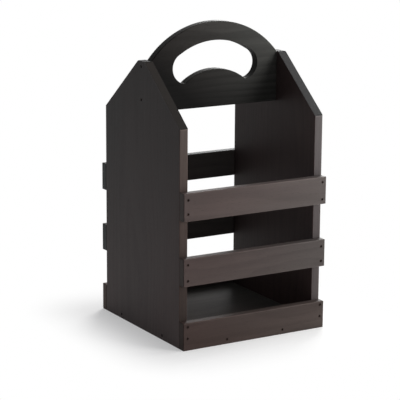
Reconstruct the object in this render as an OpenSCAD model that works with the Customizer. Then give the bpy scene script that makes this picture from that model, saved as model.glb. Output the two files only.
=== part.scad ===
// Wooden carrier for four wine bottles, two in front of the handle board and two behind it.
// Two gabled end boards stand on the floor with the base board between them. Three slats close the
// front and three the back, and an arched handle board with a bean-shaped hand slot joins the gables.
// Headed brads hold every joint, set a little below the wood.
// X runs along the slats, -Y is the front, +Z is up, and the origin is under the middle of the base.

/* [Carrier] */
// Length over the two end boards
carrier_l = 186.5; // [175:0.5:240]
// Depth of the end boards, without the slats
carrier_d = 172; // [166:1:220]
// Radius that eases every sawn edge
edge_r = 1; // [0.6:0.1:2]

/* [End boards] */
// Thickness of an end board
end_t = 10.5; // [8:0.5:14]
// Height where the gable's slopes start
shoulder_h = 247; // [220:0.5:270]
// Height of the flat peak
peak_h = 310.3; // [295:0.1:330]
// Depth of the flat peak, front to back
peak_d = 15; // [13:0.5:40]

/* [Slats] */
// Thickness of a slat
slat_t = 10; // [7:0.5:14]
// Height of a slat
slat_h = 31.7; // [28:0.1:44]
// Distance from one slat to the next one up
slat_pitch = 73.2; // [56:0.1:78]

/* [Base] */
// Thickness of the base board
base_t = 11; // [8:0.5:16]

/* [Handle board] */
// Thickness of the handle board
handle_t = 11; // [9:0.5:13]
// Depth of the handle board below the gables' peaks
handle_drop = 57.8; // [48:0.1:70]
// Height of the arch above the gables' peaks
handle_rise = 39.7; // [36:0.1:50]
// Width of the grip between the arch and the hand slot
grip_w = 21.5; // [17:0.1:24]
// Radius of the round ends of the hand slot
slot_end_r = 17.8; // [15:0.1:19]
// Distance between the centres of the slot's round ends
slot_end_spacing = 75.5; // [68:0.5:84]
// Height of the hand slot at its middle
slot_mid_h = 32.7; // [29:0.1:36]
// Radius of the hump that closes the slot from below
slot_hump_r = 63.5; // [55:0.5:75]

/* [Brads] */
// Diameter of a brad's shank
brad_d = 1.3; // [1.1:0.1:1.6]
// Diameter of a brad's head
brad_head_d = 3; // [1.8:0.1:3.4]
// Thickness of a brad's head
brad_head_t = 0.8; // [0.5:0.1:1.2]
// Length of a brad
brad_l = 25; // [19:0.5:28]
// Depth of a brad's head below the wood's face
brad_sink = 1.3; // [0.5:0.1:1.5]
// Room round a brad in its hole
brad_gap = 0.03; // [0.02:0.01:0.08]
// Distance between the two brads that join a bottom slat to the base
base_brad_spacing = 74; // [50:1:90]
// Distance between the two brads that join an end board to the base
end_brad_spacing = 96; // [60:1:110]
// Distance of the handle board's upper brads below the peak
peak_brad_drop = 6; // [5:0.5:8]
// Distance of the handle board's lower brads above its lower edge
skirt_brad_rise = 14.5; // [8:0.5:20]

/* [Hidden] */
$fn = 48;

end_colour = [0.2, 0.19, 0.19];
slat_colour = [0.33, 0.3, 0.29];
handle_colour = [0.24, 0.22, 0.2];
steel_colour = [0.16, 0.15, 0.15];

// Where the hand-driven brads of each slat sit, bottom slat first: [at the left end, at the right end].
// Height of the lower brad above the slat's lower edge
low_brad_rise = [[14, 14], [6.5, 6.5], [8.5, 5.5]];
// Depth of the upper brad below the slat's upper edge
high_brad_drop = [[4.5, 4], [7, 8], [7.5, 6]];
rows = [0:len(low_brad_rise) - 1];

brad_point_l = 2 * brad_d;
cut_margin = 5;
inner_l = carrier_l - 2 * end_t;
end_mid_x = carrier_l / 2 - end_t / 2;
face_y = carrier_d / 2 + slat_t;

// The arch springs from the inner top corners of the gables, so its radius follows from its rise.
arch_r = (pow(inner_l / 2, 2) + pow(handle_rise, 2)) / (2 * handle_rise);
arch_z = peak_h + handle_rise - arch_r;
handle_z = peak_h - handle_drop;

// The slot's upper edge runs parallel to the arch, and its round ends reach a little past that edge.
slot_top_r = arch_r - grip_w;
slot_end_past = 0.2;
slot_end_x = slot_end_spacing / 2;
slot_end_rise = sqrt(pow(slot_top_r - slot_end_r + slot_end_past, 2) - pow(slot_end_x, 2));
hump_z = arch_z + slot_top_r - slot_mid_h - slot_hump_r;

function slat_z(row) = row * slat_pitch;

// Rectangle about the origin with round corners
module eased_rect(w, h) {
    square([w - 2 * edge_r, h], center = true);
    square([w, h - 2 * edge_r], center = true);
    for (x = [-1, 1], y = [-1, 1])
        translate([x * (w / 2 - edge_r), y * (h / 2 - edge_r)]) circle(r = edge_r);
}

// Board about the origin with every edge eased
module eased_board(l, d, h) {
    intersection() {
        linear_extrude(h, center = true) eased_rect(l, d);
        rotate([90, 0, 0]) linear_extrude(d, center = true) eased_rect(l, h);
        rotate([90, 0, 90]) linear_extrude(l, center = true) eased_rect(d, h);
    }
}

// Disc about the Y axis, t thick, with both rims eased
module eased_disc(r, t) {
    rotate([90, 0, 0]) rotate_extrude() {
        translate([0, -t / 2]) square([r - edge_r, t]);
        translate([0, edge_r - t / 2]) square([r, t - 2 * edge_r]);
        for (y = [-1, 1])
            translate([r - edge_r, y * (t / 2 - edge_r)]) circle(r = edge_r);
    }
}

// Cutter about the Y axis that leaves a hole of radius r with both rims eased through a board t thick
module eased_bore(r, t) {
    rotate([90, 0, 0]) rotate_extrude() {
        translate([0, -t / 2 - cut_margin]) square([r, t + 2 * cut_margin]);
        for (y = [-1, 1])
            difference() {
                translate([0, y * t / 2 - edge_r]) square([r + edge_r, 2 * edge_r]);
                translate([r + edge_r, y * (t / 2 - edge_r)]) circle(r = edge_r);
            }
    }
}

// One headed brad, with the top of its head at the origin and its point down
module brad() {
    color(steel_colour) {
        translate([0, 0, -brad_head_t]) cylinder(d = brad_head_d, h = brad_head_t);
        translate([0, 0, brad_point_l - brad_l])
            cylinder(d = brad_d, h = brad_l - brad_point_l - brad_head_t);
        translate([0, 0, -brad_l]) cylinder(d1 = brad_d / 4, d2 = brad_d, h = brad_point_l);
    }
}

// The hole that a brad leaves, open above the head
module brad_hole() {
    translate([0, 0, -brad_head_t]) cylinder(d = brad_head_d + 2 * brad_gap, h = brad_head_t + cut_margin);
    translate([0, 0, -brad_l]) cylinder(d = brad_d + 2 * brad_gap, h = brad_l);
}

// Puts its child at the two brads of each end of a slat: side is -1 for the front and 1 for the back
module at_slat_brads(row, side) {
    for (end = [0, 1]) {
        x = (2 * end - 1) * end_mid_x;
        for (z = [low_brad_rise[row][end], slat_h - high_brad_drop[row][end]])
            translate([x, side * (face_y - brad_sink), slat_z(row) + z]) rotate([-90 * side, 0, 0]) children();
    }
}

// Puts its child at the brads that join a bottom slat to the base
module at_base_slat_brads(side) {
    for (x = [-1, 1])
        translate([x * base_brad_spacing / 2, side * (face_y - brad_sink), base_t / 2])
            rotate([-90 * side, 0, 0]) children();
}

// Puts its child at the brads that join an end board to the base: side is -1 for the left end
module at_base_end_brads(side) {
    for (y = [-1, 1])
        translate([side * (carrier_l / 2 - brad_sink), y * end_brad_spacing / 2, base_t / 2])
            rotate([0, 90 * side, 0]) children();
}

// Puts its child at the brads that join an end board to the handle board
module at_handle_brads(side) {
    for (z = [handle_z + skirt_brad_rise, peak_h - peak_brad_drop])
        translate([side * (carrier_l / 2 - brad_sink), 0, z]) rotate([0, 90 * side, 0]) children();
}

// Outline of an end board, with y to the right and z up
module gable_outline() {
    polygon([[-carrier_d / 2, 0], [carrier_d / 2, 0], [carrier_d / 2, shoulder_h],
        [peak_d / 2, peak_h], [-peak_d / 2, peak_h], [-carrier_d / 2, shoulder_h]]);
}

// Gabled board about x = 0 with its edges eased, the slopes too
module gable_board() {
    slope_angle = atan2(peak_h - shoulder_h, (carrier_d - peak_d) / 2);
    intersection() {
        rotate([90, 0, 90]) linear_extrude(end_t, center = true) gable_outline();
        translate([0, 0, peak_h / 2]) eased_board(end_t, carrier_d, peak_h);
        for (side = [-1, 1])
            translate([0, side * carrier_d / 2, shoulder_h]) rotate([-side * slope_angle, 0, 0])
                translate([0, 0, -peak_h]) eased_slab(end_t, 4 * peak_h, 2 * peak_h);
    }
}

// Slab about x = 0 and z = 0 that runs a long way along Y, with its four long edges eased
module eased_slab(w, l, h) {
    rotate([90, 0, 0]) linear_extrude(l, center = true) eased_rect(w, h);
}

module end_board(side) {
    color(end_colour) difference() {
        translate([side * end_mid_x, 0, 0]) gable_board();
        for (row = rows, face = [-1, 1]) at_slat_brads(row, face) brad_hole();
        at_base_end_brads(side) brad_hole();
        at_handle_brads(side) brad_hole();
    }
}

module base_board() {
    color(end_colour) difference() {
        translate([0, 0, base_t / 2]) eased_board(inner_l, carrier_d, base_t);
        for (side = [-1, 1]) {
            at_base_slat_brads(side) brad_hole();
            at_base_end_brads(side) brad_hole();
        }
    }
}

// Slat of a row, 0 at the bottom: side is -1 for the front and 1 for the back
module slat(row, side) {
    color(slat_colour) difference() {
        translate([0, side * (carrier_d + slat_t) / 2, slat_z(row) + slat_h / 2])
            eased_board(carrier_l, slat_t, slat_h);
        at_slat_brads(row, side) brad_hole();
        if (row == 0) at_base_slat_brads(side) brad_hole();
    }
}

// Cutter for the bean-shaped hand slot, about the centre of the arch: an arc and two round ends
module hand_slot() {
    reach = 2 * slot_top_r;
    side_x = reach * slot_end_x / slot_end_rise;
    above_hump() intersection() {
        eased_bore(slot_top_r, handle_t);
        rotate([90, 0, 0]) linear_extrude(handle_t + 2 * cut_margin, center = true)
            polygon([[0, 0], [side_x, reach], [-side_x, reach]]);
    }
    for (x = [-slot_end_x, slot_end_x])
        above_hump() translate([x, 0, slot_end_rise]) eased_bore(slot_end_r, handle_t);
}

// Keeps what its child cuts clear of the hump below the slot
module above_hump() {
    difference() {
        children();
        translate([0, 0, hump_z - arch_z]) eased_disc(slot_hump_r, handle_t);
    }
}

module handle_board() {
    board_h = handle_drop + handle_rise + cut_margin;
    color(handle_colour) difference() {
        intersection() {
            translate([0, 0, handle_z + board_h / 2]) eased_board(inner_l, handle_t, board_h);
            translate([0, 0, arch_z]) eased_disc(arch_r, handle_t);
        }
        translate([0, 0, arch_z]) hand_slot();
        for (side = [-1, 1]) at_handle_brads(side) brad_hole();
    }
}

end_board(-1);  // left_end_board
end_board(1);  // right_end_board
base_board();
handle_board();
slat(0, -1);  // front_bottom_slat
slat(1, -1);  // front_middle_slat
slat(2, -1);  // front_top_slat
slat(0, 1);  // back_bottom_slat
slat(1, 1);  // back_middle_slat
slat(2, 1);  // back_top_slat
at_slat_brads(0, -1) brad();  // front_bottom_slat_brads
at_slat_brads(1, -1) brad();  // front_middle_slat_brads
at_slat_brads(2, -1) brad();  // front_top_slat_brads
at_slat_brads(0, 1) brad();  // back_bottom_slat_brads
at_slat_brads(1, 1) brad();  // back_middle_slat_brads
at_slat_brads(2, 1) brad();  // back_top_slat_brads
at_base_slat_brads(-1) brad();  // front_base_brads
at_base_slat_brads(1) brad();  // back_base_brads
at_base_end_brads(-1) brad();  // left_base_brads
at_base_end_brads(1) brad();  // right_base_brads
at_handle_brads(-1) brad();  // left_handle_brads
at_handle_brads(1) brad();  // right_handle_brads
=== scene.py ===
import math

import bpy
from mathutils import Matrix, Vector


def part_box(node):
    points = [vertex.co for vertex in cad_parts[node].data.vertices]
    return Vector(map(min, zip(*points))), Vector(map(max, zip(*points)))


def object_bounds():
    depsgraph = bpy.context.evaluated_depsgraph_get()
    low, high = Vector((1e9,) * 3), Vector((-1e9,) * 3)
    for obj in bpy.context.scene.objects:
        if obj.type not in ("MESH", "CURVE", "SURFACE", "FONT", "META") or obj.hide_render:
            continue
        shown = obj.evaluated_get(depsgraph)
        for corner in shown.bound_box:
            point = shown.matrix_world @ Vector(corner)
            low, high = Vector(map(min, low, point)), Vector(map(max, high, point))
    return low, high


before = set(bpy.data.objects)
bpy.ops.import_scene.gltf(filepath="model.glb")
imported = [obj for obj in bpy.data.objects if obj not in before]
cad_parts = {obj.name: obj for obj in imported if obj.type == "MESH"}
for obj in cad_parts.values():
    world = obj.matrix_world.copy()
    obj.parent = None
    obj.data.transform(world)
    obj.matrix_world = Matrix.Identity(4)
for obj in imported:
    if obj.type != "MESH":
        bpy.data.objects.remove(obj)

CAD_BOX = [list(corner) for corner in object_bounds()]

# Camera: the photograph's, solved from the carrier's edges. Angles in degrees, lengths in metres.
CAMERA_AZIMUTH = -30.7081
CAMERA_ELEVATION = 13.0327
CAMERA_ROLL = 0.3759
CAMERA_DISTANCE = 1.991390
CAMERA_TARGET = (-0.016258, 0.0, 0.143605)
CAMERA_CLIP_END = 50.0
SENSOR_MM = 36.0
FOCAL_MM = 155.515

# Shapes that the wear and the painted highlight on the arrises follow, in metres, as in part.scad
END_HALF_DEPTH = 0.086
SHOULDER_HEIGHT = 0.247
PEAK_HEIGHT = 0.3103
PEAK_HALF_DEPTH = 0.0075
ARCH_RADIUS = 0.106091
ARCH_HEIGHT = 0.243909
SLOT_TOP_RADIUS = 0.084591
SLOT_END_RADIUS = 0.0178
SLOT_END_X = 0.03775
SLOT_END_HEIGHT = 0.299251
HUMP_RADIUS = 0.0635
HUMP_HEIGHT = 0.2323

# Stained wood: linear colours of the broad faces and of the edges
TOP_SLAT_TONES = ((0.0720, 0.0583, 0.0548), (0.0720, 0.0583, 0.0548))
MIDDLE_SLAT_TONES = ((0.0725, 0.0565, 0.0530), (0.0725, 0.0565, 0.0530))
BOTTOM_SLAT_TONES = ((0.0730, 0.0530, 0.0475), (0.0730, 0.0530, 0.0475))
BACK_SLAT_TONES = ((0.0720, 0.0583, 0.0548), (0.0730, 0.0715, 0.0710))
BACK_BOTTOM_SLAT_TONES = ((0.0720, 0.0583, 0.0548), (0.0900, 0.0660, 0.0600))
# Left end board: the cool face and warm edges are partly painted light colour
LEFT_END_TONES = ((0.0497, 0.0410, 0.0402), (0.0534, 0.0412, 0.0361))
# Right end board: its reddish face colour holds painted warm bounce light
RIGHT_END_TONES = ((0.0585, 0.0408, 0.0390), (0.0490, 0.0450, 0.0450))
HANDLE_TONES = ((0.0268, 0.0245, 0.0226), (0.0268, 0.0245, 0.0222))
BASE_TONES = ((0.0500, 0.0430, 0.0405), (0.0500, 0.0430, 0.0405))

# The stain's hue wanders between these two factors on the tone
WARM = (1.07, 0.975, 0.955)
COOL = (0.935, 1.01, 1.005)
HUE_WANDER = 0.2
HUE_SHARES = (0.25, 0.75)

# How far the hue drifts from warm to cool: from the middle of a board to its far end along the grain,
# and for a metre towards the back
COOLER_ALONG = 0.55
COOLER_BACK = 4.0

# The painted light and shade in the stain's lightness never make it darker than this
DARKEST = 0.12

# Specular level of the finish
SATIN = 0.075
RUBBED = 0.035
MATT = 0.015

# Wood: what a board's seed moves it by in the log, how wide its rings are and how far they wander, in metres
LOG_STEP = (0.37, 0.113, 0.071)
RING_WIDTH = 0.0034
RING_UNEVENNESS = 1.6
GRAIN_BEND = 0.010

# Noises: scale per metre, detail and roughness
BEND_NOISE = (16.0, 1.0, 0.5)
UNEVEN_NOISE = (30.0, 1.0, 0.5)
FIBRE_NOISE = (900.0, 3.0, 0.6)
STREAK_NOISE = (170.0, 2.0, 0.55)
PORE_NOISE = (1900.0, 1.0, 0.5)
BLOTCH_NOISE = (26.0, 3.0, 0.6)
HUE_NOISE = (11.0, 1.0, 0.5)
RAGGED_NOISE = (240.0, 3.0, 0.7)
RUST_NOISE = (1500.0, 3.0, 0.6)
NOISE_MIDDLE = (0.5, 0.5, 0.5)

# How much the noises are drawn out along the grain
SLOW_STRETCH = (0.28, 1.0, 1.0)
FIBRE_STRETCH = (0.035, 1.0, 1.0)
PORE_STRETCH = (0.09, 1.0, 1.0)

# Ramps, as where they begin and end: across a ring, in the pores' noise, and in how a surface faces
LATE_WOOD_STARTS = (0.25, 0.88)
LATE_WOOD_STOPS = (1.0, 0.9)
PORE_CUT = (0.62, 0.74)
END_GRAIN_FACING = (0.35, 0.95)
BROAD_FACING = (0.5, 0.9)

# Arrises, worn and with a painted highlight: where the rubbing begins and where it is complete, and how
# ragged that edge is, in metres
WEAR_AND_HIGHLIGHT_BEGINS = 0.0014
WEAR_AND_HIGHLIGHT_FULL = 0.0002
WEAR_AND_HIGHLIGHT_RAGGED = 0.0016

# How much each thing changes the stain's lightness: the range about its mean, or the part taken off
BLOTCH_RANGE = 0.36
STREAK_RANGE = 0.26
FIBRE_RANGE = 0.22
LATE_WOOD_DARKER = 0.11
EARLY_WOOD_LIGHTER = 0.035
PORE_DARKER = 0.22
# Arrises: lighter from wear and from a painted highlight; on end grain, darker as painted shade
ARRIS_WEAR_AND_HIGHLIGHT = 0.40
ARRIS_SHADE_ON_END_GRAIN = -1.03

# Roughness of the finish, and what is added to it
PLAIN_ROUGHNESS = 0.44
FIBRE_ROUGHER = 0.14
PORE_ROUGHER = 0.12
RUBBED_ROUGHER = -0.05
END_GRAIN_ROUGHER = 0.12

# Relief of the wood: strength, depth in metres, and each thing's share
WOOD_BUMP_STRENGTH = 0.5
WOOD_BUMP_DEPTH = 0.00003
FIBRE_RELIEF = 0.5
LATE_WOOD_RELIEF = 0.25
PORE_RELIEF = -0.7

# Brad heads: steel under stain, with a little rust in it
STEEL_DARK = (0.020, 0.011, 0.009)
STEEL_RUSTY = (0.036, 0.020, 0.016)
RUST_SPOTS = (0.4, 0.7)
STEEL_ROUGHNESS = 0.5
RUST_ROUGHER = 0.3
STEEL_METALLIC = 0.35
STEEL_GLOSS = 0.2
STEEL_BUMP_STRENGTH = 0.4
STEEL_BUMP_DEPTH = 0.00004

# Studio. The floor's glow is how white its shadowed part already is, right at the carrier.
AMBIENT = 0.2
AMBIENT_COLOUR = (0.95, 0.98, 1.07, 1.0)
PAPER_COLOUR = (0.92, 0.912, 0.898, 1.0)
WHITE = (1.0, 1.0, 1.0, 1.0)
FLOOR_HALF = 12.0
FLOOR_FADE = 0.10
FLOOR_GLOW = 0.35
LAMP_AIM = (0.0, 0.0, 0.15)

# Lamps: place, size of the square and power in watts
LAMPS = {
    "key": ((0.8, -1.0, 0.38), 0.6, 15.0),
    "side": ((1.2, -0.2, 0.6), 0.6, 9.0),
    "overhead": ((0.1, 0.1, 1.4), 0.8, 5.0),
    "rim": ((0.9, 0.9, 0.8), 0.6, 17.0),
}


class Nodes:
    """Adds shader nodes to a material's tree and links them."""

    def __init__(self, tree):
        self.tree = tree
        tree.nodes.clear()

    def fill(self, socket, value):
        """Links a socket, or writes a plain value into it."""
        if isinstance(value, bpy.types.NodeSocket):
            self.tree.links.new(value, socket)
        elif socket.type == "RGBA":
            socket.default_value = (*value[:3], 1.0)
        else:
            socket.default_value = value

    def add(self, kind, inputs=None, **settings):
        node = self.tree.nodes.new(kind)
        for name, value in settings.items():
            setattr(node, name, value)
        for name, value in (inputs or {}).items():
            self.fill(node.inputs[name], value)
        return node

    def math(self, operation, a, b=None, c=None, clamp=False):
        node = self.add("ShaderNodeMath", operation=operation, use_clamp=clamp)
        for socket, value in zip(node.inputs, (a, b, c)):
            if value is not None:
                self.fill(socket, value)
        return node.outputs[0]

    def vector(self, operation, a, b):
        return self.add("ShaderNodeVectorMath", {0: a, 1: b}, operation=operation).outputs[0]

    def split(self, vector):
        return list(self.add("ShaderNodeSeparateXYZ", {"Vector": vector}).outputs)

    def root_of_squares(self, a, b):
        squares = self.math("ADD", self.math("MULTIPLY", a, a), self.math("MULTIPLY", b, b))
        return self.math("SQRT", squares)

    def ramp(self, value, low, high, to_low=0.0, to_high=1.0):
        node = self.add(
            "ShaderNodeMapRange",
            {"Value": value, "From Min": low, "From Max": high, "To Min": to_low, "To Max": to_high},
            interpolation_type="SMOOTHSTEP",
        )
        return node.outputs["Result"]

    def noise(self, vector, scale, detail, roughness, output="Fac"):
        node = self.add(
            "ShaderNodeTexNoise",
            {"Vector": vector, "Scale": scale, "Detail": detail, "Roughness": roughness},
        )
        return node.outputs[output]

    def mix(self, factor, a, b, blend="MIX"):
        node = self.add("ShaderNodeMix", data_type="RGBA", blend_type=blend)
        for index, value in ((0, factor), (6, a), (7, b)):
            self.fill(node.inputs[index], value)
        return node.outputs[2]


def second_smallest(nodes, distances):
    """On a board's surface one distance is nearly zero, and the next one is the distance to an arris."""
    least = nodes.math("MINIMUM", distances[0], distances[1])
    second = nodes.math("MAXIMUM", distances[0], distances[1])
    for distance in distances[2:]:
        second = nodes.math("MINIMUM", second, nodes.math("MAXIMUM", least, distance))
        least = nodes.math("MINIMUM", least, distance)
    return second


def box_distances(nodes, axes, low, high):
    """Distances from a point inside a box to its faces, one for each axis."""
    out = []
    for axis in range(3):
        middle = (low[axis] + high[axis]) / 2
        half = (high[axis] - low[axis]) / 2
        offset = nodes.math("ABSOLUTE", nodes.math("SUBTRACT", axes[axis], middle))
        out.append(nodes.math("SUBTRACT", half, offset))
    return out


def gable_distances(nodes, axes, low, high):
    """Distances to the faces of a gabled end board."""
    run = END_HALF_DEPTH - PEAK_HALF_DEPTH
    rise = PEAK_HEIGHT - SHOULDER_HEIGHT
    length = math.hypot(run, rise)
    along = nodes.math("MULTIPLY", nodes.math("ABSOLUTE", axes[1]), rise / length)
    up = nodes.math("MULTIPLY", nodes.math("SUBTRACT", axes[2], SHOULDER_HEIGHT), run / length)
    slope = nodes.math("SUBTRACT", END_HALF_DEPTH * rise / length, nodes.math("ADD", along, up))
    return box_distances(nodes, axes, low, high) + [slope]


def reach_from(nodes, across, up, centre_across, centre_up):
    """Distance of a point from an axis that runs along Y."""
    a = nodes.math("SUBTRACT", across, centre_across)
    b = nodes.math("SUBTRACT", up, centre_up)
    return nodes.root_of_squares(a, b)


def handle_distances(nodes, axes, low, high):
    """Distances to the faces of the handle board, its arch and its hand slot."""
    across = nodes.math("ABSOLUTE", axes[0])
    from_arch = reach_from(nodes, across, axes[2], 0.0, ARCH_HEIGHT)
    arch = nodes.math("SUBTRACT", ARCH_RADIUS, from_arch)
    top = nodes.math("SUBTRACT", from_arch, SLOT_TOP_RADIUS)
    from_end = reach_from(nodes, across, axes[2], SLOT_END_X, SLOT_END_HEIGHT)
    end = nodes.math("SUBTRACT", from_end, SLOT_END_RADIUS)
    hump = nodes.math("SUBTRACT", HUMP_RADIUS, reach_from(nodes, across, axes[2], 0.0, HUMP_HEIGHT))
    slope = SLOT_END_X / (SLOT_END_HEIGHT - ARCH_HEIGHT)
    edge = nodes.math("MULTIPLY", nodes.math("SUBTRACT", axes[2], ARCH_HEIGHT), slope)
    outer = nodes.math("GREATER_THAN", across, edge)
    inner = nodes.math("SUBTRACT", 1.0, outer)
    rim = nodes.math("ADD", nodes.math("MULTIPLY", end, outer), nodes.math("MULTIPLY", top, inner))
    slot = nodes.math("MAXIMUM", rim, hump)
    return box_distances(nodes, axes, low, high) + [arch, slot]


def stained_wood(name, node, tones, grain, seed, distances, pith, figure, face, edge, end_grain_stain_and_shade, gloss):
    """Dark satin stain over planed wood, with painted light and shade in how light it is.

    tones are the colours of the broad faces and of the edges, and grain is the axis along the grain.
    seed moves the board through the log, and pith says how far off the log's middle lies.
    distances gives the distances to the board's faces, for the wear on its arrises.
    figure scales how strongly the grain shows.
    face and edge say how light the stain is on the broad faces and on the edges: in the middle,
    and how that changes towards +X and +Z. The changes are painted light and shade, and some middle values
    hold painted shade too.
    thirst is how much the end grain darkens, partly from the stain it drinks and partly as painted shade, and
    gloss is the finish's specular level.
    """
    material = bpy.data.materials.new(name)
    material.use_nodes = True
    nodes = Nodes(material.node_tree)
    low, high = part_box(node)
    middle = [(low[i] + high[i]) / 2 for i in range(3)]
    half = [(high[i] - low[i]) / 2 for i in range(3)]
    along = {"X": 0, "Z": 2}[grain]
    axes = nodes.split(nodes.add("ShaderNodeTexCoord").outputs["Object"])

    # The log's own coordinates: x along the grain, y and z across it, a little bent
    turned = {"X": axes[along], "Y": axes[1], "Z": axes[2 - along]}
    straight = nodes.add("ShaderNodeCombineXYZ", turned).outputs[0]
    moved = nodes.vector("ADD", straight, tuple(seed * step for step in LOG_STEP))
    slow = nodes.vector("MULTIPLY", moved, SLOW_STRETCH)
    bend = nodes.noise(slow, *BEND_NOISE, output="Color")
    centred = nodes.vector("SUBTRACT", bend, NOISE_MIDDLE)
    pulled = nodes.vector("MULTIPLY", centred, (0.0, GRAIN_BEND, GRAIN_BEND))
    bent = nodes.vector("ADD", moved, pulled)

    # Growth rings about a pith outside the board
    log = nodes.split(bent)
    across = (middle[1] + seed * LOG_STEP[1], middle[2 - along] + seed * LOG_STEP[2])
    from_y = nodes.math("SUBTRACT", log[1], across[0] + pith[0])
    from_z = nodes.math("SUBTRACT", log[2], across[1] + pith[1])
    radius = nodes.root_of_squares(from_y, from_z)
    uneven = nodes.math("MULTIPLY", nodes.noise(slow, *UNEVEN_NOISE), RING_UNEVENNESS)
    ring = nodes.math("FRACT", nodes.math("MULTIPLY_ADD", radius, 1.0 / RING_WIDTH, uneven))
    late = nodes.math("MULTIPLY", nodes.ramp(ring, *LATE_WOOD_STARTS), nodes.ramp(ring, *LATE_WOOD_STOPS))

    # Fibres, pores and the stain's blotches
    fine = nodes.vector("MULTIPLY", bent, FIBRE_STRETCH)
    fibre = nodes.noise(fine, *FIBRE_NOISE)
    streak = nodes.noise(fine, *STREAK_NOISE)
    dashes = nodes.vector("MULTIPLY", bent, PORE_STRETCH)
    pore = nodes.ramp(nodes.noise(dashes, *PORE_NOISE), *PORE_CUT)
    blotch = nodes.noise(slow, *BLOTCH_NOISE)
    hue = nodes.noise(slow, *HUE_NOISE)

    # Distance to the nearest arris, where the stain is rubbed thinner and carries a painted highlight; on end
    # grain the arris gets painted shade
    arris = second_smallest(nodes, distances(nodes, axes, low, high))
    ragged = nodes.noise(slow, *RAGGED_NOISE)
    ragged = nodes.math("MULTIPLY_ADD", ragged, WEAR_AND_HIGHLIGHT_RAGGED, -WEAR_AND_HIGHLIGHT_RAGGED / 2)
    wear_and_highlight = nodes.ramp(nodes.math("ADD", arris, ragged), WEAR_AND_HIGHLIGHT_BEGINS, WEAR_AND_HIGHLIGHT_FULL)

    # End grain drinks more stain, and its darkening also carries painted shade
    normal = nodes.add("ShaderNodeNewGeometry").outputs["Normal"]
    facing = [nodes.math("ABSOLUTE", part) for part in nodes.split(normal)]
    end_grain = nodes.ramp(facing[along], *END_GRAIN_FACING)

    # How light the broad faces and the edges are, each with its own drift towards +X and +Z: painted light
    # and shade, lighter where the lamps fall and darker where shade falls
    broad = nodes.ramp(facing[half.index(min(half))], *BROAD_FACING)
    drifts = []
    for lightness, to_right, to_top in (edge, face):
        right = nodes.math("MULTIPLY_ADD", axes[0], to_right / half[0], 1.0 - to_right * middle[0] / half[0])
        drift = nodes.math("MULTIPLY_ADD", axes[2], to_top / half[2], right)
        drift = nodes.math("SUBTRACT", drift, to_top * middle[2] / half[2])
        drifts.append(nodes.math("MULTIPLY", drift, lightness))
    stain_and_painted_light = nodes.math("MULTIPLY_ADD", nodes.math("SUBTRACT", drifts[1], drifts[0]), broad, drifts[0])
    stain_and_painted_light = nodes.math("MAXIMUM", stain_and_painted_light, DARKEST)

    # Hue, from cool at 0 to warm at 1: it wanders, and cools along the board, to the back and on end grain
    share = nodes.ramp(hue, 0.5 - HUE_WANDER / figure, 0.5 + HUE_WANDER / figure, *HUE_SHARES)
    for axis, fall in ((along, COOLER_ALONG / half[along]), (1, COOLER_BACK)):
        share = nodes.math("ADD", share, nodes.math("MULTIPLY_ADD", axes[axis], -fall, fall * middle[axis]))
    share = nodes.math("SUBTRACT", share, end_grain, clamp=True)
    tints = []
    for tone in tones:
        cool = [part * factor for part, factor in zip(tone, COOL)]
        warm = [part * factor for part, factor in zip(tone, WARM)]
        tints.append(nodes.mix(share, cool, warm))
    colour = nodes.mix(broad, tints[1], tints[0])

    # Everything that makes the stain lighter or darker, as (what, how much it adds, what it starts from).
    # The arris and end-grain rows also hold painted highlight and painted shade.
    value = stain_and_painted_light
    arris_wear_highlight_and_shade = nodes.math("MULTIPLY_ADD", end_grain, ARRIS_SHADE_ON_END_GRAIN, ARRIS_WEAR_AND_HIGHLIGHT)
    for part, slope, start in (
        (blotch, BLOTCH_RANGE, 1.0 - BLOTCH_RANGE / 2),
        (streak, STREAK_RANGE * figure, 1.0 - STREAK_RANGE / 2 * figure),
        (fibre, FIBRE_RANGE, 1.0 - FIBRE_RANGE / 2),
        (late, -LATE_WOOD_DARKER * figure, 1.0 + EARLY_WOOD_LIGHTER * figure),
        (pore, -PORE_DARKER, 1.0),
        (wear_and_highlight, arris_wear_highlight_and_shade, 1.0),
        # End-grain darkening: stain it drinks, plus painted shade on slopes and peak tops
        (end_grain, -end_grain_stain_and_shade, 1.0),
    ):
        value = nodes.math("MULTIPLY", value, nodes.math("MULTIPLY_ADD", part, slope, start))
    shade = nodes.add("ShaderNodeCombineColor", {0: value, 1: value, 2: value}).outputs[0]
    colour = nodes.mix(1.0, colour, shade, "MULTIPLY")

    rough = nodes.math("MULTIPLY_ADD", fibre, FIBRE_ROUGHER, PLAIN_ROUGHNESS)
    rough = nodes.math("MULTIPLY_ADD", pore, PORE_ROUGHER, rough)
    rough = nodes.math("MULTIPLY_ADD", wear_and_highlight, RUBBED_ROUGHER, rough)
    rough = nodes.math("MULTIPLY_ADD", end_grain, END_GRAIN_ROUGHER, rough, clamp=True)

    height = nodes.math("MULTIPLY_ADD", fibre, FIBRE_RELIEF, nodes.math("MULTIPLY", late, LATE_WOOD_RELIEF))
    height = nodes.math("MULTIPLY_ADD", pore, PORE_RELIEF, height)
    bump = nodes.add(
        "ShaderNodeBump", {"Strength": WOOD_BUMP_STRENGTH, "Distance": WOOD_BUMP_DEPTH, "Height": height}
    )

    shader = nodes.add(
        "ShaderNodeBsdfPrincipled",
        {
            "Base Color": colour,
            "Roughness": rough,
            "Specular IOR Level": gloss,
            "Normal": bump.outputs["Normal"],
        },
    )
    nodes.add("ShaderNodeOutputMaterial", {"Surface": shader.outputs[0]})
    return material


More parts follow.
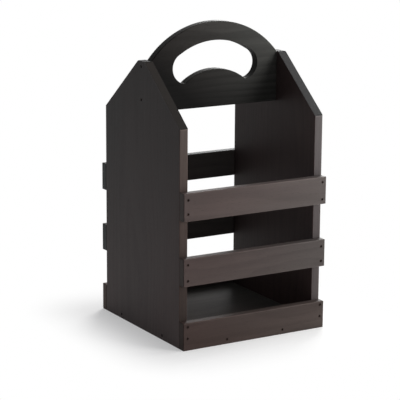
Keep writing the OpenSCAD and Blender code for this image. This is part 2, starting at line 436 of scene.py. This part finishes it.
def dulled_steel(name):
    """Brad heads, dulled by the stain."""
    material = bpy.data.materials.new(name)
    material.use_nodes = True
    nodes = Nodes(material.node_tree)
    place = nodes.add("ShaderNodeTexCoord").outputs["Object"]
    spots = nodes.noise(place, *RUST_NOISE)
    bump = nodes.add(
        "ShaderNodeBump", {"Strength": STEEL_BUMP_STRENGTH, "Distance": STEEL_BUMP_DEPTH, "Height": spots}
    )
    shader = nodes.add(
        "ShaderNodeBsdfPrincipled",
        {
            "Base Color": nodes.mix(nodes.ramp(spots, *RUST_SPOTS), STEEL_DARK, STEEL_RUSTY),
            "Roughness": nodes.math("MULTIPLY_ADD", spots, RUST_ROUGHER, STEEL_ROUGHNESS),
            "Metallic": STEEL_METALLIC,
            "Specular IOR Level": STEEL_GLOSS,
            "Normal": bump.outputs["Normal"],
        },
    )
    nodes.add("ShaderNodeOutputMaterial", {"Surface": shader.outputs[0]})
    return material


def slat(tones, seed, pith, figure, face, edge, end_grain_stain_and_shade):
    """What each slat has of its own, its wood and the painted light and shade in face and edge; the rest is
    the same for all six.
    """
    return (tones, "X", seed, box_distances, pith, figure, face, edge, end_grain_stain_and_shade, SATIN)


# Every board is cut from its own place in the log. The values come in the order that stained_wood takes
# them from tones on, or that slat takes them.
BOARDS = {
    # Left end board: face lighter low down and edges lighter at the top are painted light; its strong
    # end-grain darkening is painted shade
    "left_end_board": (
        LEFT_END_TONES, "Z", 1.0, gable_distances, (0.02, 0.09), 0.85,
        (0.79, 0.0, -0.38), (0.90, 0.0, 0.60), 0.97, SATIN,
    ),
    # Right end board: its edges lighter towards the top are painted light
    "right_end_board": (
        RIGHT_END_TONES, "Z", 2.3, gable_distances, (-0.03, -0.10), 1.0,
        (0.64, 0.0, 0.0), (1.33, 0.0, 0.25), 0.54, SATIN,
    ),
    "base_board": (
        BASE_TONES, "X", 3.1, box_distances, (0.01, 0.08), 1.0,
        (0.5, 0.0, 0.0), (0.8, 0.0, 0.0), 0.36, MATT,
    ),
    # Handle board: lighter to the right and at the top, darker to the left and low down, as painted light and
    # shade
    "handle_board": (
        HANDLE_TONES, "X", 4.7, handle_distances, (0.07, 0.02), 2.3,
        (0.78, 0.88, 0.62), (0.60, 0.40, 0.0), 0.36, RUBBED,
    ),
    # Front slats: lighter towards the right is painted light; the lower slats are darker partly from their
    # own stain, partly as painted shade
    "front_bottom_slat": slat(
        BOTTOM_SLAT_TONES, 5.9, (0.06, 0.012), 1.1, (0.60, 0.16, 0.0), (0.62, 0.14, 0.0), 0.04
    ),
    "front_middle_slat": slat(
        MIDDLE_SLAT_TONES, 6.4, (0.08, -0.02), 0.9, (0.75, 0.08, 0.0), (0.74, 0.06, 0.0), 0.04
    ),
    "front_top_slat": slat(
        TOP_SLAT_TONES, 7.7, (0.07, 0.006), 1.0, (0.87, 0.12, 0.0), (0.86, 0.10, 0.0), 0.04
    ),
    "back_bottom_slat": slat(
        BACK_BOTTOM_SLAT_TONES, 8.2, (-0.07, 0.01), 1.0, (0.70, 0.0, 0.0), (1.00, 0.0, 0.0), 0.22
    ),
    "back_middle_slat": slat(
        BACK_SLAT_TONES, 9.6, (-0.06, -0.015), 1.2, (0.78, 0.0, 0.0), (0.94, 0.0, 0.0), 0.22
    ),
    "back_top_slat": slat(
        BACK_SLAT_TONES, 10.8, (-0.09, 0.02), 1.0, (0.78, 0.0, 0.0), (0.94, 0.0, 0.0), 0.22
    ),
}


def dress(node, material):
    """Gives a CAD node its material in place of the plain one."""
    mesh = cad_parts[node].data
    mesh.materials.clear()
    mesh.materials.append(material)


def shown_white(nodes):
    """1 for the rays that should see the studio's white: from the camera, off gloss and through glass."""
    path = nodes.add("ShaderNodeLightPath")
    rays = nodes.math("ADD", path.outputs["Is Camera Ray"], path.outputs["Is Glossy Ray"])
    return nodes.math("ADD", rays, path.outputs["Is Transmission Ray"], clamp=True)


def studio_world():
    """Soft light from all round, behind a white that only shows."""
    world = bpy.data.worlds.new("studio")
    bpy.context.scene.world = world
    world.use_nodes = True
    nodes = Nodes(world.node_tree)
    light = nodes.add("ShaderNodeBackground", {"Color": AMBIENT_COLOUR, "Strength": AMBIENT})
    white = nodes.add("ShaderNodeBackground", {"Color": WHITE, "Strength": 1.0})
    both = nodes.add("ShaderNodeMixShader", {0: shown_white(nodes), 1: light.outputs[0], 2: white.outputs[0]})
    nodes.add("ShaderNodeOutputWorld", {"Surface": both.outputs[0]})


def studio_floor():
    """White floor that keeps the carrier's shadow near it. Beyond the fade, plain white shows."""
    corners = [(-FLOOR_HALF, -FLOOR_HALF, 0), (FLOOR_HALF, -FLOOR_HALF, 0)]
    corners += [(FLOOR_HALF, FLOOR_HALF, 0), (-FLOOR_HALF, FLOOR_HALF, 0)]
    mesh = bpy.data.meshes.new("studio_floor")
    mesh.from_pydata(corners, [], [(0, 1, 2, 3)])
    floor = bpy.data.objects.new("studio_floor", mesh)
    bpy.context.scene.collection.objects.link(floor)
    material = bpy.data.materials.new("studio_floor")
    material.use_nodes = True
    nodes = Nodes(material.node_tree)
    paper = nodes.add("ShaderNodeBsdfDiffuse", {"Color": PAPER_COLOUR})
    white = nodes.add("ShaderNodeEmission", {"Color": WHITE, "Strength": 1.0})
    spot = nodes.split(nodes.add("ShaderNodeTexCoord").outputs["Object"])
    beyond = [
        nodes.math("MAXIMUM", nodes.math("SUBTRACT", nodes.math("ABSOLUTE", part), CAD_BOX[1][axis]), 0.0)
        for axis, part in enumerate(spot[:2])
    ]
    glow = nodes.ramp(nodes.root_of_squares(*beyond), 0.0, FLOOR_FADE, FLOOR_GLOW, 1.0)
    share = nodes.math("MULTIPLY", shown_white(nodes), glow)
    both = nodes.add("ShaderNodeMixShader", {0: share, 1: paper.outputs[0], 2: white.outputs[0]})
    nodes.add("ShaderNodeOutputMaterial", {"Surface": both.outputs[0]})
    mesh.materials.append(material)


def square_lamp(name, place, side, power):
    """A square area lamp that shines at the carrier."""
    data = bpy.data.lights.new(name, "AREA")
    data.shape = "RECTANGLE"
    data.size = side
    data.size_y = side
    data.energy = power
    lamp = bpy.data.objects.new(name, data)
    lamp.location = place
    lamp.rotation_euler = (Vector(LAMP_AIM) - Vector(place)).to_track_quat("-Z", "Y").to_euler()
    bpy.context.scene.collection.objects.link(lamp)


def photo_camera():
    """The photograph's camera."""
    azimuth, elevation, roll = (math.radians(a) for a in (CAMERA_AZIMUTH, CAMERA_ELEVATION, CAMERA_ROLL))
    back = Vector(
        (
            math.sin(azimuth) * math.cos(elevation),
            -math.cos(azimuth) * math.cos(elevation),
            math.sin(elevation),
        )
    )
    right = Vector((math.cos(azimuth), math.sin(azimuth), 0.0))
    up = back.cross(right)
    across = math.cos(roll) * right + math.sin(roll) * up
    upright = math.cos(roll) * up - math.sin(roll) * right
    place = Vector(CAMERA_TARGET) + back * CAMERA_DISTANCE
    data = bpy.data.cameras.new("camera")
    data.sensor_width = SENSOR_MM
    data.lens = FOCAL_MM
    data.clip_end = CAMERA_CLIP_END
    camera = bpy.data.objects.new("camera", data)
    turn = Matrix((across, upright, back)).transposed().to_4x4()
    camera.matrix_world = Matrix.Translation(place) @ turn
    bpy.context.scene.collection.objects.link(camera)
    bpy.context.scene.camera = camera


for node, cut in BOARDS.items():
    dress(node, stained_wood("painted_light_stain_" + node, node, *cut))

steel = dulled_steel("dulled_steel")
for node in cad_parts:
    if node.endswith("_brads"):
        dress(node, steel)

studio_world()
studio_floor()
for name, lamp in LAMPS.items():
    square_lamp(name, *lamp)
photo_camera()
bpy.context.scene.view_settings.view_transform = "Standard"
